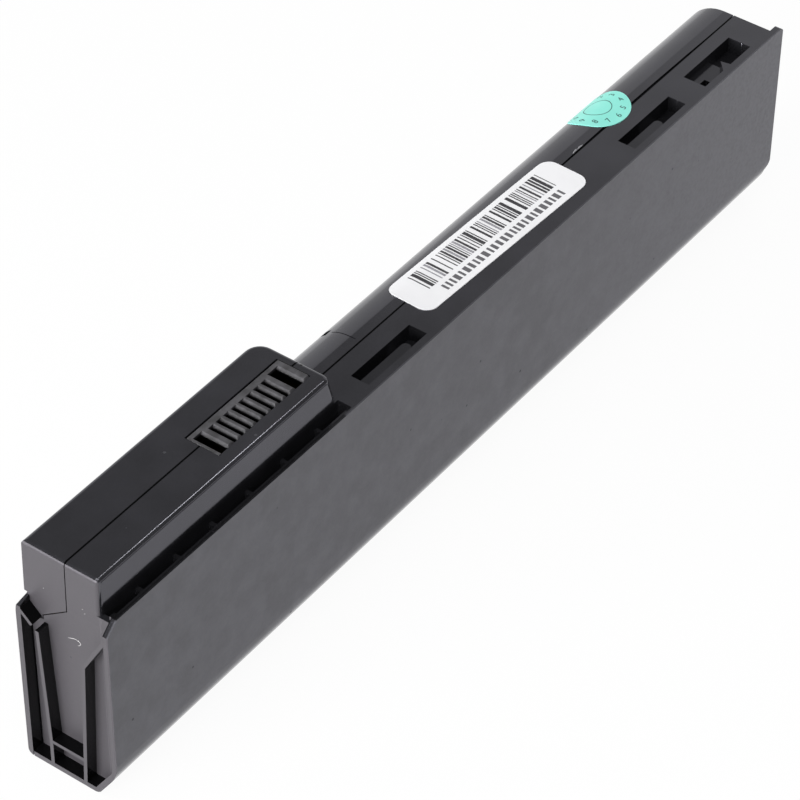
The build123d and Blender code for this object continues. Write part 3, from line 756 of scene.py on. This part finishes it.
# The same ink laid more thinly, so the paper greys it.
PALE_INK = Finish(
    name="thin_print_ink",
    colour="#8b8a90",
    drift="#a3a2a8",
    patch_mm=0.7,
    grain_mm=0.2,
    lift_mm=0.001,
    roughness=0.55,
)
# A half-tone of that ink, fine enough to look like one even grey.
BLOCK_INK = Finish(
    name="halftone_print_ink",
    colour="#5d5c60",
    drift="#67666a",
    patch_mm=0.7,
    grain_mm=0.2,
    lift_mm=0.001,
    roughness=0.55,
)
# Dark screen ink on the turquoise.
DIAL_INK = Finish(
    name="screen_print_ink",
    colour="#17403c",
    drift="#22504b",
    patch_mm=0.6,
    grain_mm=0.2,
    lift_mm=0.001,
    roughness=0.5,
)
# Torn edge of the moulding: ABS whitens where it is stretched thin.
STRESSED_ABS = Finish(
    name="stretched_abs_flash",
    colour="#b9b9bd",
    drift="#8d8d92",
    patch_mm=0.8,
    grain_mm=0.2,
    lift_mm=0.01,
    roughness=0.4,
)
# House dust: pale, soft grains.
DUST = Finish(
    name="settled_dust",
    colour="#c3c2c2",
    drift="#a9a8a8",
    patch_mm=0.3,
    grain_mm=0.1,
    lift_mm=0.02,
    roughness=0.9,
)

NODE_FINISHES: dict[Finish, tuple[str, ...]] = {
    CASE_ABS: ("front_case", "back_cover"),
    INSERT_NYLON: ("connector_housing",),
    CONTACT_GOLD: ("power_contacts", "signal_contacts"),
    SOLDER_MASK: ("circuit_board",),
    CHIP_EPOXY: ("gauge_chip", "protection_chip", "charge_switch", "discharge_switch", "thermistor"),
    CERAMIC: ("fuse", "sense_resistor", "board_passives"),
    NICKEL: ("strap_negative", "strap_low", "strap_high", "strap_positive"),
    LEAD_RED: ("positive_lead",),
    LEAD_WHITE: ("sense_lead_low", "sense_lead_high"),
    PRESSED_PAPER: ("insulating_rings", "end_insulator_near", "end_insulator_far"),
    FOAM: ("board_pad",),
    LABEL_PAPER: ("barcode_label",),
    STICKER_PAPER: ("date_sticker",),
    SLEEVE_PVC: tuple(f"cell_{number}" for number in range(1, 7)),
}


class Ink(Enum):
    """The three strengths of print on the label."""

    DARK = PRINT_INK
    PALE = PALE_INK
    HALFTONE = BLOCK_INK


@dataclass
class Pack:
    """The dressed CAD nodes, and the rounded top that the paper and the dust lie on.

    Attributes:
        nodes: CAD objects by name.
        top_radius: rounding of the top's back edge, in millimetres.
        sheet: thickness of label and sticker, in millimetres.
        corner: the pack's low corner, in millimetres.
        depth: the pack's size from front to back, in millimetres.
        top: height of the plastic under the label, in millimetres.
    """

    nodes: dict[str, bpy.types.Object]
    top_radius: float = 8.2
    sheet: float = 0.12
    corner: Vector = field(init=False)
    depth: float = field(init=False)
    top: float = field(init=False)

    def __post_init__(self) -> None:
        """Work out the pack's corner and heights from the CAD boxes."""
        lo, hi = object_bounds()
        self.corner = Vector((lo[0], lo[1], lo[2])) / MM
        self.depth = (hi[1] - lo[1]) / MM
        self.top = Vector(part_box("barcode_label")[1]).z / MM - self.sheet

    def dress(self) -> None:
        """Give every CAD node its finish."""
        for finish, names in NODE_FINISHES.items():
            material = finish.build()
            for name in names:
                slots = self.nodes[name].data.materials
                slots.clear()
                slots.append(material)
                LOG.info("%s: %s", name, material.name)

    def place(self, x: float, y: float, z: float) -> Vector:
        """Return a point given in millimetres from the pack's corner, in Blender's metres."""
        return (self.corner + Vector((x, y, z))) * MM

    def on_top(self, x: float, y: float, lift: float) -> Vector:
        """Return the point of the top seen straight down at x and y.

        Args:
            x: length from the near end, in millimetres.
            y: depth from the front, in millimetres.
            lift: height above the plastic, in millimetres.

        Returns:
            The point in metres.
        """
        bend = self.depth - self.top_radius
        if y <= bend:
            return self.place(x, y, self.top + lift)
        reach = self.top_radius + lift
        rise = math.sqrt(max(reach**2 - (y - bend) ** 2, 0.0))
        return self.place(x, y, self.top - self.top_radius + rise)

    def round_top(self, x: float, run: float, lift: float) -> Vector:
        """Return the point of the top at a run measured round its bend, as a sheet lies there.

        Args:
            x: length from the near end, in millimetres.
            run: length over the surface from the front, in millimetres.
            lift: height above the plastic, in millimetres.

        Returns:
            The point in metres.
        """
        bend = self.depth - self.top_radius
        if run <= bend:
            return self.place(x, run, self.top + lift)
        turn = (run - bend) / self.top_radius
        reach = self.top_radius + lift
        low = self.top - self.top_radius
        return self.place(x, bend + reach * math.sin(turn), low + reach * math.cos(turn))


def add_piece(
    name: str,
    points: list[Vector],
    faces: list[tuple[int, ...]],
    material: bpy.types.Material,
) -> bpy.types.Object:
    """Make a mesh piece that rides on the pack.

    Args:
        name: the piece's name.
        points: vertices in metres.
        faces: vertex numbers of each face.
        material: the piece's finish.

    Returns:
        The new object.
    """
    mesh = bpy.data.meshes.new(name)
    mesh.from_pydata([tuple(point) for point in points], [], faces)
    mesh.materials.append(material)
    piece = bpy.data.objects.new(name, mesh)
    bpy.context.scene.collection.objects.link(piece)
    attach(piece, "root")
    LOG.info("%s: %d faces", name, len(faces))
    return piece


@dataclass
class LabelPrint:
    """Plain bars across the label, and a row of plain blocks in front of them, in millimetres.

    Attributes:
        pack: the pack that carries the label.
        middle: centre of the label from the pack's corner.
        turn: how far the label is turned, in degrees.
        bars_start: first bar, from the label's centre.
        bars_end: last bar.
        bar_front: front end of the bars, across the label.
        bar_back: back end of the bars.
        module: width of the thinnest bar.
        bar_widths: widths of bars to draw from, in modules.
        bar_gaps: gaps between bars to draw from, in modules.
        pale_share: share of the narrow bars that are pale.
        pale_below: width that a pale bar stays under, in modules.
        blocks_start: first block of the row.
        blocks_end: last block of the row.
        block_front: front edge of the row.
        block_height: height of the row.
        block_widths: widths of blocks to draw from.
        block_gaps: gaps between blocks to draw from.
        steps: parts of a strip, which let it bend with the paper.
        seed: start of the draws.
    """

    pack: Pack
    middle: tuple[float, float] = (119.2, 9.0)
    turn: float = -1.9
    bars_start: float = -18.9
    bars_end: float = 19.0
    bar_front: float = -1.1
    bar_back: float = 4.0
    module: float = 0.26
    bar_widths: tuple[int, ...] = (1, 1, 1, 2, 2, 3)
    bar_gaps: tuple[int, ...] = (1, 1, 1, 2, 4)
    pale_share: float = 0.25
    pale_below: int = 3
    blocks_start: float = -17.0
    blocks_end: float = 18.6
    block_front: float = -3.9
    block_height: float = 1.75
    block_widths: tuple[float, ...] = (0.55, 0.8, 1.0)
    block_gaps: tuple[float, ...] = (0.55, 0.65)
    steps: int = 12
    seed: int = 7

    def spot(self, along: float, across: float) -> Vector:
        """Return the point of the label at a place measured from its centre."""
        turn = math.radians(self.turn)
        x = self.middle[0] + along * math.cos(turn) - across * math.sin(turn)
        y = self.middle[1] + along * math.sin(turn) + across * math.cos(turn)
        return self.pack.on_top(x, y, self.pack.sheet + PRINT_LIFT)

    def strips(
        self, name: str, ink: Ink, spans: list[tuple[float, float]], front: float, back: float
    ) -> None:
        """Lay strips across the label, bent with the paper.

        Args:
            name: the piece's name.
            ink: what the strips are printed with.
            spans: start and end of each strip along the label.
            front: front end of every strip.
            back: back end of every strip.
        """
        points: list[Vector] = []
        faces: list[tuple[int, ...]] = []
        for start, end in spans:
            first = len(points)
            for step in range(self.steps + 1):
                across = front + (back - front) * step / self.steps
                points += [self.spot(start, across), self.spot(end, across)]
            lows = range(first, first + 2 * self.steps, 2)
            faces += [(low, low + 1, low + 3, low + 2) for low in lows]
        add_piece(name, points, faces, ink.value.build())

    def build(self) -> None:
        """Make the dark bars, the pale bars between them and the row of blocks."""
        rhythm = random.Random(self.seed)
        spans: dict[Ink, list[tuple[float, float]]] = {ink: [] for ink in Ink}
        along = self.bars_start
        while along < self.bars_end:
            wide = self.module * rhythm.choice(self.bar_widths)
            narrow = wide < self.pale_below * self.module
            ink = Ink.PALE if narrow and rhythm.random() < self.pale_share else Ink.DARK
            spans[ink].append((along, min(along + wide, self.bars_end)))
            along += wide + self.module * rhythm.choice(self.bar_gaps)
        along = self.blocks_start
        while along < self.blocks_end:
            wide = rhythm.choice(self.block_widths)
            spans[Ink.HALFTONE].append((along, along + wide))
            along += wide + rhythm.choice(self.block_gaps)
        bars = (self.bar_front, self.bar_back)
        blocks = (self.block_front, self.block_front + self.block_height)
        self.strips("label_bars_dark", Ink.DARK, spans[Ink.DARK], *bars)
        self.strips("label_bars_pale", Ink.PALE, spans[Ink.PALE], *bars)
        self.strips("label_blocks", Ink.HALFTONE, spans[Ink.HALFTONE], *blocks)


@dataclass
class DialPrint:
    """Plain numbers round the sticker and a thin ring inside them, in millimetres.

    Attributes:
        pack: the pack that carries the sticker.
        middle: centre of the sticker, its depth measured over the surface.
        number_radius: radius of the circle of numbers.
        number_height: height of a number.
        figure_share: height of a figure as a share of the type's size.
        hours: how many numbers there are.
        ring_radius: radius of the ring.
        ring_width: width of the ring's line.
        first_turn: direction of the number 12, in degrees from the pack's length.
        ring_steps: sides of the ring.
    """

    pack: Pack
    middle: tuple[float, float] = (162.6, 14.85)
    number_radius: float = 4.95
    number_height: float = 1.3
    figure_share: float = 0.73
    hours: int = 12
    ring_radius: float = 2.7
    ring_width: float = 0.14
    first_turn: float = 90.0
    ring_steps: int = 64

    def spot(self, along: float, across: float) -> Vector:
        """Return the point of the sticker at a place measured from its centre."""
        lift = self.pack.sheet + PRINT_LIFT
        return self.pack.round_top(self.middle[0] + along, self.middle[1] + across, lift)

    def number(self, hour: int) -> tuple[list[Vector], list[tuple[int, ...]]]:
        """Draw one number flat, then lay it on the sticker.

        Args:
            hour: the number.

        Returns:
            Points and faces of the number.
        """
        text = bpy.data.curves.new(f"hour_{hour}", "FONT")
        text.body = str(hour)
        text.size = self.number_height / self.figure_share
        text.align_x = "CENTER"
        text.align_y = "CENTER"
        carrier = bpy.data.objects.new(text.name, text)
        flat = bpy.data.meshes.new_from_object(carrier)
        turn = math.radians(self.first_turn - 360 / self.hours * hour)
        centre = Vector((math.cos(turn), math.sin(turn))) * self.number_radius
        points = [self.spot(*(centre + corner.co.xy)) for corner in flat.vertices]
        faces = [tuple(face.vertices) for face in flat.polygons]
        bpy.data.objects.remove(carrier)
        bpy.data.meshes.remove(flat)
        bpy.data.curves.remove(text)
        return points, faces

    def build(self) -> None:
        """Make the numbers and the ring."""
        ink = DIAL_INK.build()
        points: list[Vector] = []
        faces: list[tuple[int, ...]] = []
        for hour in range(1, self.hours + 1):
            corners, patches = self.number(hour)
            faces += [tuple(len(points) + corner for corner in patch) for patch in patches]
            points += corners
        add_piece("dial_numbers", points, faces, ink)
        rim: list[Vector] = []
        for step in range(self.ring_steps):
            turn = math.tau * step / self.ring_steps
            for radius in (self.ring_radius, self.ring_radius + self.ring_width):
                rim.append(self.spot(radius * math.cos(turn), radius * math.sin(turn)))
        count = len(rim)
        lows = range(0, count, 2)
        bands = [(low, low + 1, (low + 3) % count, (low + 2) % count) for low in lows]
        add_piece("dial_ring", rim, bands, ink)


@dataclass
class SurfaceMarks:
    """Small things that the moulding and the shelf left on the plastic, in millimetres.

    Attributes:
        pack: the pack that carries them.
        flash_start: near end of the torn flash on the seam.
        flash_end: its far end.
        flash_depth: its place across the top.
        flash_rise: how far it stands up.
        flash_lean: how far it leans back.
        flash_thickness: its thickness.
        flash_steps: parts of its torn edge.
        flash_waves: how far round the waves of that edge run, in radians.
        flash_ragged: share of its height that those waves take.
        lint: points of the fibre on the end wall, as depth and height.
        lint_radius: half the fibre's thickness.
        end_wall: the end wall's distance from the near rim.
        grains: dust on the end wall, as depth, height and radius.
        grain_corners: corners of a grain.
        grain_reach: least and most reach of a corner, as a share of the radius.
        seed: start of the draws.
    """

    pack: Pack
    flash_start: float = 147.8
    flash_end: float = 151.3
    flash_depth: float = 10.25
    flash_rise: float = 0.35
    flash_lean: float = 0.25
    flash_thickness: float = 0.08
    flash_steps: int = 14
    flash_waves: float = 9.0
    flash_ragged: float = 0.25
    lint: tuple[tuple[float, float], ...] = (
        (11.0, 31.9),
        (10.1, 32.3),
        (9.2, 32.5),
        (8.3, 32.1),
        (8.5, 31.5),
        (9.0, 31.2),
    )
    lint_radius: float = 0.04
    end_wall: float = 2.5
    grains: tuple[tuple[float, float, float], ...] = (
        (15.84, 40.6, 0.1),
        (7.4, 40.7, 0.07),
        (6.95, 39.9, 0.09),
    )
    grain_corners: int = 9
    grain_reach: tuple[float, float] = (0.7, 1.25)
    seed: int = 3

    def flash(self) -> None:
        """Make the thin torn strip that stands up along the seam."""
        points: list[Vector] = []
        for step in range(self.flash_steps + 1):
            share = step / self.flash_steps
            x = self.flash_start + (self.flash_end - self.flash_start) * share
            wave = 1 - self.flash_ragged + self.flash_ragged * math.sin(self.flash_waves * share)
            tall = math.sin(math.pi * share) * wave
            for stand in (0.0, tall):
                y = self.flash_depth + self.flash_lean * stand
                points.append(self.pack.place(x, y, self.pack.top + self.flash_rise * stand))
        lows = range(0, 2 * self.flash_steps, 2)
        faces = [(low, low + 2, low + 3, low + 1) for low in lows]
        strip = add_piece("seam_flash", points, faces, STRESSED_ABS.build())
        strip.modifiers.new("thickness", "SOLIDIFY").thickness = self.flash_thickness * MM

    def fibre(self) -> None:
        """Make the fibre that lies on the end wall."""
        curve = bpy.data.curves.new("lint_fibre", "CURVE")
        curve.dimensions = "3D"
        curve.bevel_depth = self.lint_radius * MM
        line = curve.splines.new("NURBS")
        line.points.add(len(self.lint) - 1)
        for point, (y, z) in zip(line.points, self.lint):
            point.co = (*self.pack.place(self.end_wall - self.lint_radius, y, z), 1)
        line.use_endpoint_u = True
        line.order_u = 3
        curve.materials.append(DUST.build())
        fibre = bpy.data.objects.new("lint_fibre", curve)
        bpy.context.scene.collection.objects.link(fibre)
        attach(fibre, "root")
        LOG.info("lint_fibre: %d points", len(self.lint))

    def dust(self) -> None:
        """Make the grains of dust on the end wall, each an uneven flat crumb."""
        chance = random.Random(self.seed)
        points: list[Vector] = []
        faces: list[tuple[int, ...]] = []
        count = self.grain_corners
        for y, z, radius in self.grains:
            peak = len(points)
            points.append(self.pack.place(self.end_wall - radius / 2, y, z))
            for corner in range(count):
                turn = math.tau * corner / count
                reach = radius * chance.uniform(*self.grain_reach)
                over, up = reach * math.cos(turn), reach * math.sin(turn)
                points.append(self.pack.place(self.end_wall, y + over, z + up))
                faces.append((peak, peak + 1 + (corner + 1) % count, peak + 1 + corner))
        add_piece("dust_grains", points, faces, DUST.build())

    def build(self) -> None:
        """Make all marks."""
        self.flash()
        self.fibre()
        self.dust()


@dataclass(frozen=True)
class Softbox:
    """A soft lamp that faces the pack.

    Attributes:
        name: the lamp's name.
        azimuth: direction from the pack, in degrees from +X towards +Y.
        elevation: height of that direction above the floor, in degrees.
        distance: distance from the pack, in metres.
        width: width of the lamp, in metres.
        height: height of the lamp, in metres.
        level: brightness of white paper that faces it, 1 being white.
    """

    name: str
    azimuth: float
    elevation: float
    distance: float
    width: float
    height: float
    level: float

    def build(self, target: Vector) -> None:
        """Make the lamp.

        Args:
            target: point that it is aimed at, in metres.
        """
        aim = direction(self.azimuth, self.elevation)
        lamp = bpy.data.lights.new(self.name, "AREA")
        lamp.shape = "RECTANGLE"
        lamp.size = self.width
        lamp.size_y = self.height
        lamp.energy = self.level * (math.pi * self.distance) ** 2
        carrier = bpy.data.objects.new(self.name, lamp)
        carrier.location = target + aim * self.distance
        carrier.rotation_euler = aim.to_track_quat("Z", "Y").to_euler()
        bpy.context.scene.collection.objects.link(carrier)


@dataclass
class Studio:
    """A pale floor, soft lamps and the camera, in metres unless said.

    Attributes:
        floor_reach: half the floor's width.
        floor_colour: paint of the floor.
        floor_glow: share of plain white that camera and reflections see in the floor.
        dark: brightness of the room overhead and in front.
        paper: brightness of the paper that rises behind the pack.
        sweep_azimuth: direction in which that paper rises, in degrees.
        sweep_rise: heights, as sines of elevations, between which it fades into the dark room.
        sweep_side: cosines of the angles from that direction between which it sets in.
        target_mm: point that the camera looks at.
        azimuth: direction of the camera, in degrees from +X towards +Y.
        elevation: height of the camera above the floor, in degrees.
        distance_mm: distance of the camera.
        roll: turn of the camera about its axis, in degrees.
        lens_mm: focal length of the lens.
        frame_mm: width of the square picture behind it.
        near: distance from which the camera sees.
        lamps: the soft lamps.
    """

    floor_reach: float = 6.0
    floor_colour: str = "#f2f2f2"
    floor_glow: float = 0.95
    dark: float = 0.21
    paper: float = 0.74
    sweep_azimuth: float = 60.0
    sweep_rise: tuple[float, float] = (0.54, 0.69)
    sweep_side: tuple[float, float] = (0.1, 0.5)
    target_mm: tuple[float, float, float] = (-7.464, 1.061, 18.165)
    azimuth: float = 216.665
    elevation: float = 42.059
    distance_mm: float = 699.82
    roll: float = 0.07
    lens_mm: float = 171.75
    frame_mm: float = 36.0
    near: float = 0.05
    lamps: tuple[Softbox, ...] = (
        Softbox("overhead", 200.0, 74.0, distance=1.1, width=1.0, height=0.9, level=0.52),
        Softbox("end_key", 174.0, 11.0, distance=1.2, width=0.9, height=0.38, level=1.95),
        Softbox("edge_light", 8.0, 58.7, distance=1.6, width=0.2, height=0.14, level=0.05),
    )

    def floor(self) -> None:
        """Make the floor, white to the eye and in reflections but still shaded under the pack."""
        reach = self.floor_reach
        mesh = bpy.data.meshes.new("floor")
        corners = [(-reach, -reach, 0), (reach, -reach, 0), (reach, reach, 0), (-reach, reach, 0)]
        mesh.from_pydata(corners, [], [(0, 1, 2, 3)])
        material = bpy.data.materials.new("matte_white_board")
        material.use_nodes = True
        net = Net(material.node_tree)
        net.tree.nodes.clear()
        path = net.add("LightPath").outputs
        seen = net.add("Math", (path["Is Camera Ray"], path["Is Glossy Ray"]), operation="MAXIMUM")
        through = net.add("Math", (seen, path["Is Transmission Ray"]), operation="MAXIMUM")
        share = net.add("Math", (through, self.floor_glow), operation="MULTIPLY")
        paint = net.add("BsdfDiffuse", {"Color": linear(self.floor_colour)})
        glow = net.add("Emission", {"Color": linear(WHITE), "Strength": 1.0})
        net.add("OutputMaterial", {"Surface": net.add("MixShader", (share, paint, glow))})
        mesh.materials.append(material)
        board = bpy.data.objects.new("floor", mesh)
        bpy.context.scene.collection.objects.link(board)
        board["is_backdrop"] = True

    def room(self) -> None:
        """Light the pack with a dark room, in which white paper rises behind it and fades upwards."""
        world = bpy.data.worlds.new("studio")
        world.use_nodes = True
        net = Net(world.node_tree)
        soft = {"interpolation_type": "SMOOTHSTEP"}
        ray = net.add("TexCoord").outputs["Generated"]
        height = net.add("SeparateXYZ", (ray,)).outputs["Z"]
        fade = net.add("MapRange", (height, *self.sweep_rise, 1.0, 0.0), **soft)
        back = tuple(direction(self.sweep_azimuth, 0.0))
        behind = net.add("VectorMath", (ray, back), operation="DOT_PRODUCT")
        side = net.add("MapRange", (behind, *self.sweep_side), **soft)
        share = net.add("Math", (fade, side), operation="MULTIPLY")
        ground = net.tree.nodes["Background"].inputs
        ground["Color"].default_value = linear(WHITE)
        net.feed(ground["Strength"], net.add("MapRange", (share, 0.0, 1.0, self.dark, self.paper)))
        bpy.context.scene.world = world

    def camera(self) -> None:
        """Set the camera where the photograph was taken."""
        back = direction(self.azimuth, self.elevation)
        lens = bpy.data.cameras.new("camera")
        lens.lens = self.lens_mm
        lens.sensor_width = self.frame_mm
        lens.clip_start = self.near
        viewer = bpy.data.objects.new("camera", lens)
        roll = Matrix.Rotation(math.radians(self.roll), 4, "Z")
        viewer.matrix_world = (
            Matrix.Translation((Vector(self.target_mm) + back * self.distance_mm) * MM)
            @ back.to_track_quat("Z", "Y").to_matrix().to_4x4()
            @ roll
        )
        bpy.context.scene.collection.objects.link(viewer)
        bpy.context.scene.camera = viewer

    def build(self) -> None:
        """Make the floor, the room, the lamps and the camera."""
        self.floor()
        self.room()
        for lamp in self.lamps:
            lamp.build(Vector(self.target_mm) * MM)
        self.camera()
        bpy.context.scene.view_settings.view_transform = "Standard"


def main() -> None:
    """Load the frame, dress it, add the print and the marks, and set the studio round it."""
    logging.basicConfig(level=logging.INFO, format="%(name)s: %(message)s")
    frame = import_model()
    pack = Pack(frame["nodes"])
    pack.dress()
    LabelPrint(pack).build()
    DialPrint(pack).build()
    SurfaceMarks(pack).build()
    Studio().build()


if __name__ == "__main__":
    main()
